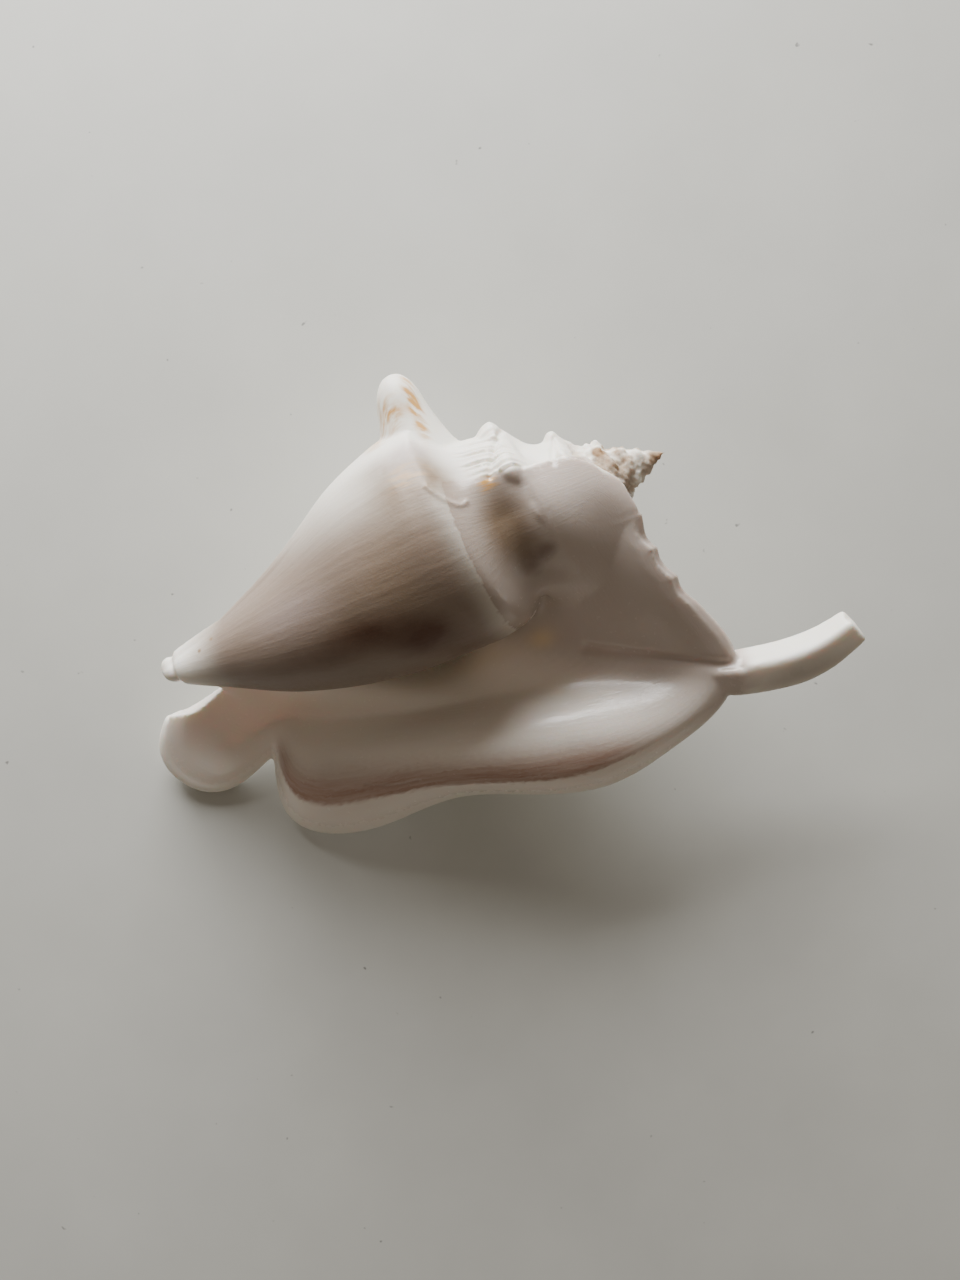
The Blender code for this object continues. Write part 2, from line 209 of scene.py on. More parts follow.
class ConchShape(PropertyGroup):
    axis_length: length("Axis length", "From the spire's tip to the front end", 0.1295)
    shoulder_distance: length("Shoulder distance", "From the tip to the last shoulder", 0.052)
    shoulder_radius: length("Shoulder radius", "Radius of the last whorl at its shoulder", 0.0285)
    whorl_growth: FloatProperty(name="Whorl growth", description="Growth of each whorl over the one before",
                                default=1.55)
    shoulder_angle: FloatProperty(name="Shoulder angle", default=-180.0,
                                  description="Growth angle, in degrees, at which the radius is given")
    whorls: IntProperty(name="Whorls", description="Number of whorls in the coil", default=9)
    wall: length("Wall", "Greatest thickness of the flared lip's wall", 0.0050)
    rim: length("Rim", "Radius of the thickened edge of the lip", 0.0024)
    tail: length("Tail", "Radius of the tail at its root", 0.0042)
    worn: length("Wear", "Depth worn off the spots that the shell lies on", 0.00035)
    heading: FloatProperty(name="Heading", description="Direction in which the front end points",
                           default=math.radians(202.7), subtype="ANGLE")
    dip: FloatProperty(name="Dip", description="How far the front end dips", default=math.radians(10.2),
                       subtype="ANGLE")
    rise: FloatProperty(name="Rise", description="How far the lip rises", default=math.radians(-0.3),
                        subtype="ANGLE")
    grain: length("Grain", "Size of the finest shape in the surface", 0.0005)
    faces: IntProperty(name="Faces", description="Most triangles in the finished surface", default=190000)


class ConchColours(PropertyGroup):
    cream: colour("Cream", "Colour of the outer layer", (0.83, 0.795, 0.71))
    pearl: colour("Pearl", "Colour of the glaze inside the lip", (0.84, 0.775, 0.70))
    glaze: colour("Glaze", "Colour of the glaze over the spire and the wing", (0.50, 0.42, 0.37))
    # Painted shade: a dark tone for the shaded side of the last whorl by the aperture, and for the shade
    # spots
    painted_shade: colour("Dusk", "Colour of the side of the last whorl by the aperture", (0.20, 0.135, 0.098))
    # Also a painted highlight on the tail's upper side
    chalk_and_highlight: colour("Chalk", "Colour of the worn, bleached parts", (0.82, 0.80, 0.75))
    # Also used as painted shade in the hollow beside the pad's ridge
    tan: colour("Tan", "Colour of the wide, faint stain", (0.25, 0.18, 0.122))
    brown: colour("Brown", "Colour of the dark stain", (0.115, 0.052, 0.028))
    amber: colour("Amber", "Colour of the amber streaks", (0.60, 0.33, 0.10))
    # Painted light: the glow of light coming through thin spots of the shell
    painted_glow: colour("Honey", "Colour of the thin spots that light comes through", (0.78, 0.62, 0.38))
    lilac: colour("Lilac", "Tint of the band below the shoulder", (0.50, 0.41, 0.42))
    blush: colour("Blush", "Colour of the band along the lip's edge", (0.37, 0.22, 0.165))
    grime: colour("Grime", "Colour of what has settled in the hollows", (0.26, 0.16, 0.08))
    ash: colour("Ash", "Colour of the knobs' worn tips", (0.36, 0.32, 0.31))
    floor: colour("Floor", "Colour of the floor", (0.56, 0.56, 0.52))


class ConchStage(PropertyGroup):
    lens: FloatProperty(name="Lens", description="Focal length of the camera, in millimetres", default=35.0)
    height: length("Camera height", "Height of the camera over the floor", 0.3198)
    aim: FloatVectorProperty(name="Camera place", description="Where the camera stands over the shell",
                             default=(-0.0028, -0.0056), size=2, unit="LENGTH")
    window: FloatProperty(name="Window", description="Power of the window light, in watts", default=15.0)
    sky: FloatProperty(name="Sky", description="Strength of the light from all round", default=0.21)


def smoothstep(low, high, x):
    s = np.clip((x - low) / (high - low), 0.0, 1.0)
    return s * s * (3.0 - 2.0 * s)


def curve_through(points, x):
    """A smooth curve through points, with no overshoot between them."""
    px, py = np.array(points, dtype=float).T
    step = np.diff(px)
    slope = np.diff(py) / step
    before, after = slope[:-1], slope[1:]
    tangent = np.zeros(len(px))
    tangent[1:-1] = np.where(before * after > 0, 2 * before * after / (before + after + 1e-12), 0)
    tangent[0], tangent[-1] = slope[0], slope[-1]
    x = np.clip(x, px[0], px[-1])
    i = np.clip(np.searchsorted(px, x, side="right") - 1, 0, len(step) - 1)
    u = (x - px[i]) / step[i]
    v = 1 - u
    return (v * v * (1 + 2 * u) * py[i] + u * v * v * step[i] * tangent[i]
            + u * u * (3 - 2 * u) * py[i + 1] - u * u * v * step[i] * tangent[i + 1])


def along(points, share):
    """Places at these shares of the way along the smooth curve that the points draw."""
    cage = np.array(points, dtype=float)
    cage = np.vstack([2 * cage[0] - cage[1], cage, 2 * cage[-1] - cage[-2]])
    span = np.clip(share, 0.0, 1.0) * (len(points) - 1)
    i = np.minimum(span.astype(int), len(points) - 2)
    u = (span - i)[:, None]
    return ((1 - u) ** 3 * cage[i] + (3 * u ** 3 - 6 * u * u + 4) * cage[i + 1]
            + (-3 * u ** 3 + 3 * u * u + 3 * u + 1) * cage[i + 2] + u ** 3 * cage[i + 3]) / 6.0


def shape():
    return bpy.context.scene.conch_shape


def resting_turn():
    """The turn that lays the shell's own frame down on the floor."""
    s = shape()
    dip = Matrix.Rotation(s.dip, 4, "Y") @ Matrix.Rotation(s.rise, 4, "X")
    return Matrix.Rotation(s.heading, 4, "Z") @ dip


def growth(angle):
    s = shape()
    return s.whorl_growth ** ((angle - s.shoulder_angle) / 360.0)


def shoulder_at(angle):
    """How far along the axis the shoulder is at this growth angle, and its radius."""
    s = shape()
    size = growth(angle)
    return s.shoulder_distance / MM * size, s.shoulder_radius / MM * size


def old_knobs(angle, t):
    """Height of the knobs on the spire's whorls, and of the beads on the earliest ones."""
    height = np.zeros(np.broadcast(angle, t).shape)
    for at, tall, wide, long in OLD_KNOBS:
        apart = ((angle - at) / wide) ** 2 + ((t - shoulder_at(at)[0]) / long) ** 2
        height += tall * np.exp(-(apart ** KNOB_BLUNTNESS))
    share = t / shoulder_at(angle)[0]
    beads = np.clip(np.cos(np.radians((angle - FIRST_BEAD_ANGLE) * BEADS_PER_TURN)), 0, 1) ** 1.5
    early = smoothstep(BEADS_END_ANGLE, BEADS_END_ANGLE - 20.0, angle)
    beads = beads * np.exp(-(((share - BEAD_SHARE) / BEAD_LENGTH) ** 2))
    return height + early * BEAD_HEIGHT * growth(angle) * beads


def whorl_radius(angle, t):
    """Radius of the whorl that has grown to this angle, at t along the axis."""
    shoulder_t, shoulder_r = shoulder_at(angle)
    x = (t - shoulder_t) / (shape().axis_length / MM - shoulder_t)
    keel = curve_through(TAPER_KEEL, x)
    beside = keel + (curve_through(TAPER_APERTURE, x) - keel) * smoothstep(-205.0, -335.0, angle)
    taper = beside + (curve_through(TAPER_PILLAR, x) - beside) * smoothstep(-365.0, -430.0, angle)
    share = np.where(t < shoulder_t, curve_through(RAMP, t / shoulder_t), taper)
    return shoulder_r * share + old_knobs(angle, t)


def body_radius(direction, t):
    """Outer radius of the filled body, in a direction round the axis from -540 to -180."""
    radius = whorl_radius(direction, t)
    radius += (whorl_radius(direction + 360.0, t) - radius) * smoothstep(-505.0, -540.0, direction)
    for turn in range(1, shape().whorls):
        radius = np.maximum(radius, whorl_radius(direction - 360.0 * turn, t))
    return radius


def points_of(piece):
    co = np.empty(len(piece.data.vertices) * 3, np.float32)
    piece.data.vertices.foreach_get("co", co)
    return co.reshape(-1, 3).astype(float)


def set_points(piece, points):
    piece.data.vertices.foreach_set("co", np.ascontiguousarray(points, dtype=np.float32).ravel())
    piece.data.update()


def select_only(*pieces):
    bpy.ops.object.select_all(action="DESELECT")
    for piece in pieces:
        piece.select_set(True)
    bpy.context.view_layer.objects.active = pieces[0]


def face_outwards(piece):
    select_only(piece)
    bpy.ops.object.mode_set(mode="EDIT")
    bpy.ops.mesh.select_all(action="SELECT")
    bpy.ops.mesh.normals_make_consistent(inside=False)
    bpy.ops.object.mode_set(mode="OBJECT")


def form(name, segments, rings, place):
    """A ball reshaped ring by ring: place() takes each point's share of the length and its turn."""
    bpy.ops.object.select_all(action="DESELECT")
    bpy.ops.mesh.primitive_uv_sphere_add(segments=segments, ring_count=rings, radius=1.0)
    piece = bpy.context.object
    piece.name = piece.data.name = name
    ball = points_of(piece)
    share = np.arccos(np.clip(ball[:, 2], -1.0, 1.0)) / math.pi
    turn = np.where(np.hypot(ball[:, 0], ball[:, 1]) < 1e-5, 0.0, np.arctan2(ball[:, 1], ball[:, 0]))
    set_points(piece, place(share, turn))
    face_outwards(piece)
    return piece


def bar(name, points, radius, section=None):
    """A bar along a smooth curve, closed at both ends, with its own section where one is given."""
    def place(share, turn):
        middle = along(points, share)
        ahead = along(points, np.minimum(share + 0.01, 1.0)) - along(points, np.maximum(share - 0.01, 0.0))
        ahead /= np.linalg.norm(ahead, axis=1)[:, None]
        side = np.cross(ahead, (0.0, 0.0, 1.0))
        side /= np.linalg.norm(side, axis=1)[:, None]
        up = np.cross(side, ahead)
        r = radius(share)
        if section is not None:
            r = r * section(turn)
        return middle + r[:, None] * (np.cos(turn)[:, None] * side + np.sin(turn)[:, None] * up)
    return form(name, 32, 120, place)


def round_ends(share, ends=0.02):
    """1 along the middle, falling to 0 in a quarter circle at both ends."""
    from_end = np.clip(np.minimum(share, 1.0 - share) / ends, 0.0, 1.0)
    return np.sqrt(1.0 - (1.0 - from_end) ** 2)


class CONCH_OT_whorls(Operator):
    """Model the spire, the body whorl and the pillar as one filled form"""
    bl_idname = "conch.whorls"
    bl_label = "Whorls"

    def execute(self, context):
        def place(share, turn):
            t = share * shape().axis_length / MM
            direction = np.degrees(turn) % 360.0 - 540.0
            radius = np.where((share < 1e-4) | (share > 0.9999), 0.0, body_radius(direction, t))
            angle = np.radians(direction)
            return np.stack([t, radius * np.cos(angle), radius * np.sin(angle)], axis=-1)
        form("whorl_form", 256, 256, place)
        return {"FINISHED"}


def sheet(name, rows, thickness, shares):
    """A smooth sheet through a cage of rows, with a thickness that differs from row to row."""
    bpy.ops.object.select_all(action="DESELECT")
    across, down = len(rows[0]) - 1, len(rows) - 1
    bpy.ops.mesh.primitive_grid_add(x_subdivisions=across, y_subdivisions=down, size=2.0)
    piece = bpy.context.object
    piece.name = piece.data.name = name
    flat = points_of(piece)
    station = np.rint((flat[:, 0] + 1) / 2 * across).astype(int)
    row = np.rint((flat[:, 1] + 1) / 2 * down).astype(int)
    set_points(piece, np.array(rows, dtype=float)[row, station])
    for mark, values in (("row", row), ("station", station)):
        layer = piece.data.attributes.new(mark, "FLOAT", "POINT")
        layer.data.foreach_set("value", values.astype(np.float32))
    face_outwards(piece)
    thick = piece.vertex_groups.new(name="thick")
    for i, at in enumerate(row):
        thick.add([i], shares[at], "REPLACE")
    rounding = piece.modifiers.new("rounding", "SUBSURF")
    rounding.levels = rounding.render_levels = 3
    rounding.boundary_smooth = "PRESERVE_CORNERS"
    wall = piece.modifiers.new("wall", "SOLIDIFY")
    wall.thickness = thickness
    wall.offset = 0.0
    wall.vertex_group = "thick"
    bpy.ops.object.modifier_apply(modifier="rounding")
    bpy.ops.object.modifier_apply(modifier="wall")
    return piece


class CONCH_OT_lip(Operator):
    """Model the last half whorl's wall and the flared lip as one sheet with a thickness"""
    bl_idname = "conch.lip"
    bl_label = "Lip"

    def execute(self, context):
        s = shape()
        rows = []
        for angle in WALL_ANGLES:
            suture = shoulder_at(angle)[0] * SUTURE_SHARE
            t = suture + np.array(STATIONS) * (s.axis_length / MM - suture)
            radius = whorl_radius(float(angle), t) - s.wall * WALL_SHARE / MM / 2
            a = math.radians(angle)
            rows.append(np.stack([t, radius * math.cos(a), radius * math.sin(a)], axis=-1))
        rows += [np.array(row, dtype=float) for row in (THROAT, TROUGH, CREST, BROW, MARGIN)]
        lip = sheet("lip_form", rows, s.wall / MM, (WALL_SHARE,) * len(WALL_ANGLES) + LIP_SHARES)
        guide = lip.copy()
        guide.data = lip.data.copy()
        guide.name = GUIDE
        context.collection.objects.link(guide)
        sheet("pad_form", PAD, PAD_THICKNESS, (1.0,) * len(PAD))
        return {"FINISHED"}


class CONCH_OT_rim(Operator):
    """Model the thickened edge of the lip"""
    bl_idname = "conch.rim"
    bl_label = "Rim"

    def execute(self, context):
        full = shape().rim / MM

        def radius(share):
            return full * curve_through(RIM_SHARES, share) * round_ends(share, 0.01)
        bar("rim_form", MARGIN, radius)
        return {"FINISHED"}


class CONCH_OT_tail(Operator):
    """Model the tail: a finger with a ridge along its top and a broken end"""
    bl_idname = "conch.tail"
    bl_label = "Tail"

    def execute(self, context):
        full = shape().tail / MM

        def section(turn):
            """A rounded outline with the tail's flat sides."""
            reach = sum((np.clip(np.cos(turn - math.radians(faces)), 0.0, 1.0) / far) ** TAIL_CORNERS
                        for faces, far in TAIL_SIDES)
            return reach ** (-1.0 / TAIL_CORNERS)

        def radius(share):
            return full * curve_through(TAIL_SHARES, share) * round_ends(share, 0.015)
        bar("tail_form", TAIL, radius, section)
        return {"FINISHED"}


class CONCH_OT_knobs(Operator):
    """Model the blunt knobs on the last whorl's shoulder"""
    bl_idname = "conch.knobs"
    bl_label = "Knobs"

    def execute(self, context):
        for number, (angle, height, base, tip) in enumerate(LAST_KNOBS):
            shoulder_t, shoulder_r = shoulder_at(angle)
            a = math.radians(angle)
            reach = height + base

            def place(share, turn):
                climb = np.sin(share * math.pi / 2) ** 1.2
                width = base + (tip - base) * climb ** 0.8
                tip_share = np.clip(share - KNOB_ROUNDING, 0, 1) / (1.0 - KNOB_ROUNDING)
                width = width * np.sqrt(np.clip(1.0 - tip_share ** 2, 0.0, 1.0))
                width = np.where(share < 0.02, 0.0, width)
                out = shoulder_r - base + reach * share
                side = width * np.cos(turn) - LEAN * share
                cross = width * np.sin(turn)
                return np.stack([shoulder_t + side, out * math.cos(a) - cross * math.sin(a),
                                 out * math.sin(a) + cross * math.cos(a)], axis=-1)
            form(f"knob_form_{number}", 48, 48, place)
        return {"FINISHED"}


class CONCH_OT_fuse(Operator):
    """Fuse the forms into one skin"""
    bl_idname = "conch.fuse"
    bl_label = "Fuse"

    def execute(self, context):
        forms = [o for o in context.scene.objects if "_form" in o.name]
        select_only(*forms)
        bpy.ops.object.join()
        piece = context.object
        piece.name = piece.data.name = SHELL
        skin = piece.modifiers.new("skin", "REMESH")
        skin.mode = "VOXEL"
        skin.voxel_size = shape().grain / MM
        soft = piece.modifiers.new("soft", "SMOOTH")
        soft.iterations = 5
        soft.factor = 0.5
        bpy.ops.object.modifier_apply(modifier="skin")
        bpy.ops.object.modifier_apply(modifier="soft")
        return {"FINISHED"}


def shell_places(points):
    """Growth direction, radius, share of the way to the shoulder and depth under the body's surface."""
    t, p, h = points.T
    radius = np.hypot(p, h)
    direction = (np.degrees(np.arctan2(h, p)) + 180.0) % 360.0 - 540.0
    surface = body_radius(direction, np.clip(t, 0.5, shape().axis_length / MM - 0.5))
    return t, direction, radius, surface - radius


def spot(points, place, reach):
    """1 at a place, fading smoothly over its reach along t, p and h."""
    away = (points - np.array(place)) / np.array(reach)
    return np.exp(-(away ** 2).sum(axis=1))


def glaze(points):
    """1 where glaze covers the earlier whorls, on the aperture's side of the ramp and the spire."""
    t, p, h = points.T
    return smoothstep(-0.6, 0.6, p - curve_through(GLAZE_EDGE, t)) * smoothstep(-2.0, 2.0, h) * (t < 46.0)


def ripple(x, seed, waves=7):
    """A smooth, uneven wave of about unit height along x, the same on every run."""
    random = np.random.default_rng(seed)
    total = np.zeros_like(x)
    for _ in range(waves):
        total += np.sin(x * random.uniform(0.5, 1.6) + random.uniform(0, 2 * math.pi))
    return total / math.sqrt(waves)


def far_from(line, points):
    """How far each point is from a smooth line."""
    marks = along(line, np.linspace(0.0, 1.0, 80))
    return np.sqrt(np.min([((points - mark) ** 2).sum(axis=1) for mark in marks], axis=0))


def lip_places(points):
    """Row and station on the lip's cage nearest to each point, and how far away it is."""
    guide = bpy.data.objects[GUIDE]
    tree = kdtree.KDTree(len(guide.data.vertices))
    for vertex in guide.data.vertices:
        tree.insert(vertex.co, vertex.index)
    tree.balance()
    marks = {}
    for layer in ("row", "station"):
        marks[layer] = np.empty(len(guide.data.vertices), np.float32)
        guide.data.attributes[layer].data.foreach_get("value", marks[layer])
    row, station, away = np.zeros(len(points)), np.zeros(len(points)), np.zeros(len(points))
    for i, place in enumerate(points):
        found = tree.find_n(place, 3)
        nearness = [1.0 / (far + 0.05) for _, _, far in found]
        total = sum(nearness)
        row[i] = sum(n * marks["row"][f[1]] for n, f in zip(nearness, found)) / total
        station[i] = sum(n * marks["station"][f[1]] for n, f in zip(nearness, found)) / total
        away[i] = found[0][2]
    return row, station, away


def normals_of(piece):
    normal = np.empty(len(piece.data.vertices) * 3, np.float32)
    piece.data.vertices.foreach_get("normal", normal)
    return normal.reshape(-1, 3).astype(float)


def soften_creases(piece):
    points = points_of(piece)
    away = np.min([far_from(line, points[:, :2]) for line in CREASES], axis=0)
    by_crease = smoothstep(CREASE_WIDTH, CREASE_WIDTH / 2, away) * (points[:, 2] > UPPER_SIDE)
    soft = piece.vertex_groups.new(name="soft")
    for i in np.flatnonzero(by_crease):
        soft.add([int(i)], by_crease[i], "REPLACE")
    softening = piece.modifiers.new("softening", "SMOOTH")
    softening.iterations = SOFTENING_ROUNDS
    softening.factor = 0.5
    softening.vertex_group = "soft"
    select_only(piece)
    bpy.ops.object.modifier_apply(modifier="softening")


def teeth(t, p):
    """How far the wing's edge is cut back towards the front at each point."""
    start, end, spacing, deep = TEETH
    edge = along(MARGIN[:5], np.linspace(0.0, 1.0, 200))
    behind = t - np.interp(p, edge[:, 1], edge[:, 0])
    by_edge = smoothstep(6.0, 0.0, behind) * smoothstep(start - 2, start, p) * smoothstep(end, end - 8, p)
    return deep * by_edge * np.abs(np.sin(math.pi * (p - start) / spacing + 0.4 * ripple(p * 0.5, 31)))


class CONCH_OT_relief(Operator):
    """Carve wrinkles, teeth, lumps and wear into the skin, thin it and lay it down"""
    bl_idname = "conch.relief"
    bl_label = "Relief"

    def execute(self, context):
        s = shape()
        piece = bpy.data.objects[SHELL]
        soften_creases(piece)
        points = points_of(piece)
        normal = normals_of(piece)
        t, direction, radius, depth = shell_places(points)
        on_body = smoothstep(2.0, 0.8, np.abs(depth))
        glazed = glaze(points)
        bare = on_body * (1.0 - glazed)
        share = t / shoulder_at(direction)[0]
        by_suture = smoothstep(0.60, 0.66, share) * smoothstep(0.88, 0.76, share)
        wrinkles = WRINKLES * ripple(direction * 1.35 + 0.5 * ripple(t, 5), 3) * by_suture * bare
        lines = GROWTH_LINES * ripple(direction * 0.8 + 0.2 * ripple(t * 0.4, 8), 11) * bare
        spire = smoothstep(24.0, 14.0, t) * bare
        grit = GRIT * ripple(t * 3.0 + points[:, 1] * 2.0, 21) * spire
        step = GLAZE_STEP * glazed * on_body * smoothstep(30.0, 24.0, t)
        moulded = sum(rise * spot(points, place, reach) for place, reach, rise in MOULDING)
        middle, half, start, full, fade, end, deep = HOLLOW
        p, h = points[:, 1], points[:, 2]
        hollow = (deep * np.exp(-(((t - middle) / half) ** 2)) * smoothstep(start, full, p)
                  * smoothstep(end, fade, p) * smoothstep(4.0, 9.0, h))
        groove_at, groove_width, groove_depth = TIP_GROOVE
        groove = groove_depth * np.exp(-(((t - groove_at) / groove_width) ** 2))
        groove *= smoothstep(9.0, 6.0, radius)
        drawn = sum(height * np.exp(-((far_from(line, points[:, :2]) / width) ** 2))
                    for line, height, width in LINES)
        drawn *= (normal[:, 2] > 0) & (h > UPPER_SIDE)
        lumps = np.zeros(len(points))
        for i in np.flatnonzero((spire > 0.01) & (t > 2.0)):
            lumps[i] = LUMPS * noise.noise(points[i] * 0.42) + SMALL_LUMPS * noise.noise(points[i] * 0.95)
        lumps *= spire * smoothstep(2.0, 6.0, t)
        rise = wrinkles + lines + grit + step + moulded + lumps + drawn - hollow - groove
        points += normal * rise[:, None]

        points[:, 0] += teeth(t, points[:, 1])
        set_points(piece, points)

        thin = piece.modifiers.new("thin", "DECIMATE")
        thin.ratio = min(1.0, s.faces / (2 * len(piece.data.polygons)))
        select_only(piece)
        bpy.ops.object.modifier_apply(modifier="thin")

        turn = resting_turn()
        piece.data.transform(turn @ Matrix.Scale(MM, 4))
        low = min(v.co.z for v in piece.data.vertices) + s.worn
        bpy.ops.object.mode_set(mode="EDIT")
        bpy.ops.mesh.select_all(action="SELECT")
        bpy.ops.mesh.bisect(plane_co=(0, 0, low), plane_no=(0, 0, 1), clear_inner=True, use_fill=True)
        bpy.ops.mesh.select_all(action="SELECT")
        bpy.ops.mesh.quads_convert_to_tris()
        bpy.ops.object.mode_set(mode="OBJECT")
        corners = points_of(piece)
        least, most = corners.min(axis=0), corners.max(axis=0)
        to_table = Vector((-(least[0] + most[0]) / 2, -(least[1] + most[1]) / 2, -least[2]))
        piece.data.transform(Matrix.Translation(to_table))
        piece["to_table"] = to_table
        return {"FINISHED"}


def shell_frame_points(piece):
    """The finished surface's points back in the shell's own frame, in millimetres."""
    back = np.array(resting_turn().to_3x3().inverted())
    return (points_of(piece) - np.array(piece["to_table"])) @ back.T / MM


# Stains, with painted shade and painted light among them: place and reach along t, p and h, and strength
STAINS = {
    "tan": (((62, 3, 22), (13, 12, 14), 0.6), ((72, 10, 16), (14, 8, 12), 0.5),
            # The second spot on the next line, in the hollow beside the pad's ridge, is painted shade
            ((51, -14, 21), (9, 6, 10), 1.2), ((37, 3, 15), (5, 9, 12), 1.1),
            ((58, -20, 16), (9, 3, 9), 0.35)),
    "brown": (((72, 11, 17), (9, 4.5, 9), 0.95), ((62, 17, 18), (8, 5, 10), 0.95),
              ((84, 11, 12), (12, 5, 8), 0.8), ((97, 10, 9), (12, 4, 7), 0.5),
              ((56, 24, 10), (6, 6, 8), 0.6), ((36.5, 11.5, 10), (3.5, 3.5, 8), 0.6),
              ((31.5, 10, 12), (3.5, 2.2, 8), 0.5)),
    "amber": (((47, -31, 8), (1.2, 8, 10), 1.2), ((53, -31.5, 9), (3.5, 4, 9), 0.9),
              ((59, -27, 8), (3.5, 1.8, 8), 0.7), ((37.5, -7.8, 16), (2.2, 1.6, 6), 1.1),
              ((52, -15, 20), (5, 4, 8), 0.4), ((18, -7, 9), (1, 1.5, 4), 0.8)),
    # Painted light: glow where light comes through the thin shell by the aperture
    "painted_glow": (((43, 28, -3), (3.5, 2.5, 9), 1.0), ((62, 27, -8), (12, 2.5, 7), 0.45)),
    "lilac": (((52, -20, 16), (7, 4, 9), 0.9), ((84, 2, 16), (14, 6, 10), 0.4)),
    "chalk_and_highlight": (((44, -42, 1), (7, 6, 6), 0.5), ((31, -21, 7), (4, 4, 4), 0.6),
              ((19, -14, 6), (3, 3, 3), 0.6), ((40, -18, 14), (7, 6, 8), 0.7),
              # The last spot on the next line, on the tail's upper side, is a painted highlight; the others
              # are bleached wear
              ((124, 0, 4), (6, 5, 5), 0.6), ((-8, 53, -5), (10, 1.6, 4), 0.8)),
    "worn": (((32, -21, 10), (2.2, 2.2, 4), 1.0), ((21, -13.5, 8), (1.7, 1.7, 4), 1.1)),
    "dirt": (((13.5, -5.5, 5), (1.8, 1.6, 4), 1.0), ((17, -10, 4), (1, 1, 3), 0.8),
             ((2, 0, 1), (3, 2, 3), 0.6), ((112, -1.7, 8), (0.7, 0.5, 4), 0.8),
             ((116, -0.3, 7), (0.7, 0.6, 4), 0.8)),
    # Painted shade: under the tail, under the wing's crease, near the wing's edge, on the lip near the front
    # and in the hollow beside the pad's ridge
    "shade": (((-10, 57, -11), (10, 2.6, 6), 0.8), ((23, 46.5, -8), (9, 5, 6), 0.35),
              ((16, 6, 10), (5, 5, 8), 0.4), ((105, 40, -10), (9, 5, 8), 0.25),
              ((37, 3, 15), (5, 9, 12), 0.5)),
}


class CONCH_OT_tones(Operator):
    """Record where the stains, the glaze, the worn parts, the painted shade and the painted light are"""
    bl_idname = "conch.tones"
    bl_label = "Tones"

    def execute(self, context):
        piece = bpy.data.objects[SHELL]
        points = shell_frame_points(piece)
        t, direction, radius, depth = shell_places(points)
        on_body = smoothstep(-2.5, -1.0, depth) * smoothstep(6.0, 4.5, depth)
        row, station, away = lip_places(points)
        on_lip = smoothstep(6.0, 2.0, away) * (row > len(WALL_ANGLES) - 1.5)
        upward = smoothstep(-0.3, 0.2, normals_of(piece)[:, 2])
        margin = row - len(WALL_ANGLES)
        tones = {}
        for name, spots in STAINS.items():
            stained = sum(strength * spot(points, place, reach) for place, reach, strength in spots)
            tones[name] = np.clip(stained, 0, 1)
        for name in ("tan", "brown", "lilac"):
            tones[name] *= on_body * smoothstep(-8.0, 3.0, points[:, 2])
        tones["spire"] = smoothstep(22.0, 16.0, t) * on_body * (1.0 - glaze(points))
        band = margin - 3.0 + 0.2 * smoothstep(7.5, 9.0, station)
        tones["blush"] = (smoothstep(-1.0, -0.2, band) * smoothstep(0.12, 0.0, band) * on_lip * upward
                          * smoothstep(4.5, 6.0, station) * smoothstep(11.0, 10.2, station))
        p, h = points[:, 1], points[:, 2]
        tones["pearl"] = upward * on_lip * smoothstep(4.2, 3.4, margin - 0.7 * smoothstep(6.0, 4.0, station))
        tones["glaze"] = np.clip(glaze(points) + tones["pearl"] * smoothstep(5.5, 3.0, station), 0, 1)
        # Painted shade on the last whorl's side by the aperture: it starts at a slanting line and fades by
        # the shoulder, the tip and the underside, and the painted shade spots are added to it
        painted_shade = (smoothstep(-26.0, -3.0, p + 0.15 * (t - 60.0)) * smoothstep(41.0, 52.0, t) * on_body
                * smoothstep(-12.0, 5.0, h) * smoothstep(126.0, 108.0, t))
        tones["painted_shade"] = np.clip(painted_shade + tones.pop("shade"), 0.0, 1.0)
        for name, values in tones.items():
            layer = piece.data.attributes.new(name, "FLOAT", "POINT")
            layer.data.foreach_set("value", values.astype(np.float32))
        grain = piece.data.attributes.new("growth", "FLOAT_VECTOR", "POINT")
        follow = np.stack([np.radians(direction) * 28.0, t * 0.15, radius * 0.15], axis=-1)
        follow[on_lip > 0.5] = np.stack([row * 9.0, station * 0.9, np.zeros_like(row)], axis=-1)[on_lip > 0.5]
        grain.data.foreach_set("vector", follow.astype(np.float32).ravel())
        bpy.data.meshes.remove(bpy.data.objects[GUIDE].data)
        return {"FINISHED"}


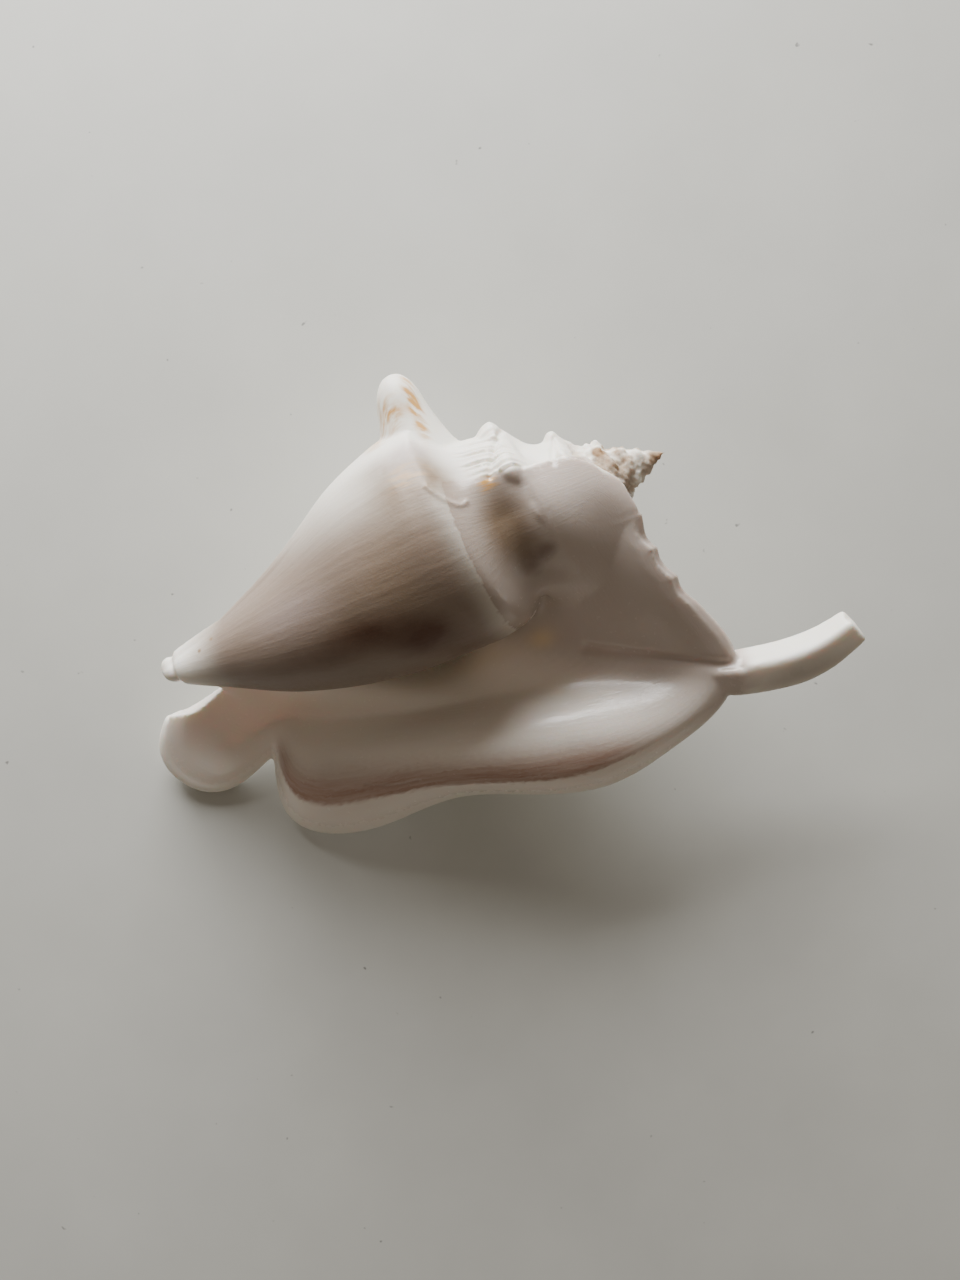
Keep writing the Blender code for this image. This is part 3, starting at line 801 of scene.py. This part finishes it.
class Nodes:
    """Shortcuts for laying out one material's nodes."""

    def __init__(self, name):
        self.material = bpy.data.materials.new(name)
        self.material.use_nodes = True
        self.tree = self.material.node_tree
        self.surface = self.tree.nodes["Principled BSDF"]

    def add(self, kind, **settings):
        node = self.tree.nodes.new(kind)
        for name, value in settings.items():
            setattr(node, name, value)
        return node

    def link(self, out, into):
        self.tree.links.new(out, into)

    def tone(self, name):
        return self.add("ShaderNodeAttribute", attribute_name=name).outputs["Fac"]

    def cloud(self, where, scale, detail=4.0, roughness=0.55):
        node = self.add("ShaderNodeTexNoise")
        node.inputs["Scale"].default_value = scale
        node.inputs["Detail"].default_value = detail
        node.inputs["Roughness"].default_value = roughness
        self.link(where, node.inputs["Vector"])
        return node.outputs["Fac"]

    def sums(self, operation, first, second, clamp=False):
        node = self.add("ShaderNodeMath", operation=operation, use_clamp=clamp)
        for socket, value in zip(node.inputs, (first, second)):
            if isinstance(value, (int, float)):
                socket.default_value = value
            else:
                self.link(value, socket)
        return node.outputs[0]

    def range(self, value, low, high, to_low=0.0, to_high=1.0):
        node = self.add("ShaderNodeMapRange")
        self.link(value, node.inputs["Value"])
        for name, number in zip(("From Min", "From Max", "To Min", "To Max"), (low, high, to_low, to_high)):
            node.inputs[name].default_value = number
        return node.outputs[0]

    def mix(self, share, first, second):
        node = self.add("ShaderNodeMix", data_type="RGBA")
        if isinstance(share, (int, float)):
            node.inputs["Factor"].default_value = share
        else:
            self.link(share, node.inputs["Factor"])
        for socket, value in ((node.inputs["A"], first), (node.inputs["B"], second)):
            target = [s for s in node.inputs if s.name == socket.name and s.type == "RGBA"][0]
            if hasattr(value, "is_output"):
                self.link(value, target)
            else:
                target.default_value = (*value, 1.0)
        return [s for s in node.outputs if s.type == "RGBA"][0]


def shell_material():
    c = bpy.context.scene.conch_colours
    n = Nodes("conch")
    where = n.add("ShaderNodeTexCoord").outputs["Object"]
    growing = n.add("ShaderNodeAttribute", attribute_name="growth").outputs["Vector"]
    streaks = n.cloud(growing, 1.3, 5.0)
    clouds = n.cloud(where, 60.0, 4.0)
    grains = n.cloud(where, 900.0, 3.0)

    uneven = n.range(clouds, 0.3, 0.7, -0.35, 0.35)

    def edged(name, low, high):
        """A stain's share, with an uneven edge."""
        share = n.sums("ADD", n.tone(name), n.sums("MULTIPLY", uneven, n.tone(name)))
        return n.range(share, low, high)

    base = n.mix(n.range(streaks, 0.35, 0.7, 0.0, 0.3), tuple(c.cream), tuple(c.chalk_and_highlight))
    base = n.mix(n.sums("MULTIPLY", n.tone("pearl"), 0.9), base, tuple(c.pearl))
    base = n.mix(n.sums("MULTIPLY", n.tone("glaze"), 0.9), base, tuple(c.glaze))
    # Painted shade on the last whorl's side by the aperture and in the shade spots
    base = n.mix(n.sums("MULTIPLY", n.tone("painted_shade"), 0.9), base, tuple(c.painted_shade))
    base = n.mix(edged("lilac", 0.1, 1.2), base, tuple(c.lilac))
    # Tan stain, and painted shade in the hollow beside the pad's ridge
    base = n.mix(edged("tan", 0.05, 0.95), base, tuple(c.tan))
    streaked = n.sums("MULTIPLY", n.tone("amber"), n.range(streaks, 0.38, 0.62, 0.1, 1.2))
    base = n.mix(n.range(streaked, 0.1, 0.8), base, tuple(c.amber))
    base = n.mix(edged("brown", 0.25, 1.1), base, tuple(c.brown))
    # Painted light where light comes through thin spots
    base = n.mix(n.sums("MULTIPLY", n.tone("painted_glow"), 0.9), base, tuple(c.painted_glow))
    banded = n.sums("MULTIPLY", n.tone("blush"), n.range(streaks, 0.3, 0.7, 0.7, 1.0))
    base = n.mix(banded, base, tuple(c.blush))
    # Bleached wear, and a painted highlight on the tail's upper side
    base = n.mix(edged("chalk_and_highlight", 0.2, 1.0), base, tuple(c.chalk_and_highlight))
    speckled = n.sums("MULTIPLY", n.tone("spire"), n.range(n.cloud(where, 170.0), 0.38, 0.6))
    base = n.mix(n.sums("MULTIPLY", speckled, 0.85), base, tuple(c.grime))
    base = n.mix(edged("dirt", 0.3, 0.8), base, tuple(c.grime))
    pitted = n.sums("MULTIPLY", edged("worn", 0.3, 0.6), n.range(grains, 0.35, 0.6, 0.5, 1.0))
    base = n.mix(pitted, base, tuple(c.ash))
    n.link(base, n.surface.inputs["Base Color"])

    glazed = n.range(n.sums("MAXIMUM", n.tone("pearl"), n.tone("glaze")), 0.0, 1.0, 0.42, 0.22)
    rough = n.sums("ADD", glazed, n.range(grains, 0.3, 0.7, -0.04, 0.06))
    worn = n.sums("MULTIPLY", n.sums("MAXIMUM", n.tone("chalk_and_highlight"), n.tone("spire")), 0.3)
    n.link(n.sums("ADD", rough, worn, True), n.surface.inputs["Roughness"])
    n.surface.inputs["Subsurface Weight"].default_value = 0.25
    n.surface.inputs["Subsurface Radius"].default_value = (1.0, 0.6, 0.35)
    n.surface.inputs["Subsurface Scale"].default_value = 0.004

    bump = n.add("ShaderNodeBump")
    bump.inputs["Strength"].default_value = 0.35
    bump.inputs["Distance"].default_value = 0.0003
    rising = n.sums("ADD", n.sums("MULTIPLY", streaks, 0.6), n.sums("MULTIPLY", grains, 0.35))
    n.link(rising, bump.inputs["Height"])
    n.link(bump.outputs[0], n.surface.inputs["Normal"])
    return n.material


class CONCH_OT_finish(Operator):
    """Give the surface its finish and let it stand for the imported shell"""
    bl_idname = "conch.finish"
    bl_label = "Finish"

    def execute(self, context):
        piece = bpy.data.objects[SHELL]
        select_only(piece)
        bpy.ops.object.shade_smooth()
        piece.data.materials.clear()
        piece.data.materials.append(shell_material())
        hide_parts("conch_shell")
        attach(piece, "root")
        return {"FINISHED"}


class CONCH_OT_stage(Operator):
    """Set the floor, the light and the camera"""
    bl_idname = "conch.stage"
    bl_label = "Stage"

    def execute(self, context):
        scene = context.scene
        settings = scene.conch_stage
        bpy.ops.object.select_all(action="DESELECT")
        bpy.ops.mesh.primitive_plane_add(size=4.0, location=(0, 0, 0))
        floor = context.object
        floor.name = "floor"
        n = Nodes("floor")
        where = n.add("ShaderNodeTexCoord").outputs["Object"]
        colour_of = tuple(scene.conch_colours.floor)
        darker = tuple(0.93 * part for part in colour_of)
        mottled = n.mix(n.range(n.cloud(where, 30.0), 0.3, 0.7), colour_of, darker)
        specks = n.range(n.cloud(where, 260.0, 2.0), 0.74, 0.78)
        speckled = n.mix(specks, mottled, tuple(0.45 * part for part in colour_of))
        n.link(speckled, n.surface.inputs["Base Color"])
        n.surface.inputs["Roughness"].default_value = 0.6
        floor.data.materials.append(n.material)

        world = bpy.data.worlds.new("room")
        world.use_nodes = True
        world.node_tree.nodes["Background"].inputs["Color"].default_value = SKY_TINT
        world.node_tree.nodes["Background"].inputs["Strength"].default_value = settings.sky
        scene.world = world
        bpy.ops.object.light_add(type="AREA", location=WINDOW_PLACE)
        window = context.object
        window.name = "window"
        window.data.size = WINDOW_WIDTH
        window.data.energy = settings.window
        window.rotation_euler = (-window.location).to_track_quat("-Z", "Y").to_euler()

        bpy.ops.object.camera_add(location=(*settings.aim, settings.height), rotation=(0, 0, 0))
        camera = context.object
        camera.data.lens = settings.lens
        camera.data.sensor_width = 36.0
        camera.data.clip_start = 0.01
        scene.camera = camera
        return {"FINISHED"}


class CONCH_PT_panel(Panel):
    """Lists the steps of making the shell"""
    bl_idname = "CONCH_PT_panel"
    bl_label = "Conch Shell"
    bl_space_type = "VIEW_3D"
    bl_region_type = "UI"
    bl_category = "Conch Shell"

    def draw(self, context):
        for step in STEPS:
            self.layout.operator(step.bl_idname)
        for group in (context.scene.conch_shape, context.scene.conch_colours, context.scene.conch_stage):
            for name in group.__annotations__:
                self.layout.prop(group, name)


STEPS = (CONCH_OT_whorls, CONCH_OT_lip, CONCH_OT_rim, CONCH_OT_tail, CONCH_OT_knobs, CONCH_OT_fuse,
         CONCH_OT_relief, CONCH_OT_tones, CONCH_OT_finish, CONCH_OT_stage)
GROUPS = {"conch_shape": ConchShape, "conch_colours": ConchColours, "conch_stage": ConchStage}


def register():
    for made in (*GROUPS.values(), *STEPS, CONCH_PT_panel):
        bpy.utils.register_class(made)
    for name, group in GROUPS.items():
        setattr(bpy.types.Scene, name, PointerProperty(type=group))


def unregister():
    for name in GROUPS:
        delattr(bpy.types.Scene, name)
    for made in (CONCH_PT_panel, *reversed(STEPS), *reversed(GROUPS.values())):
        bpy.utils.unregister_class(made)


def main():
    register()
    for step in STEPS:
        group, name = step.bl_idname.split(".")
        getattr(getattr(bpy.ops, group), name)()


if __name__ == "__main__":
    main()
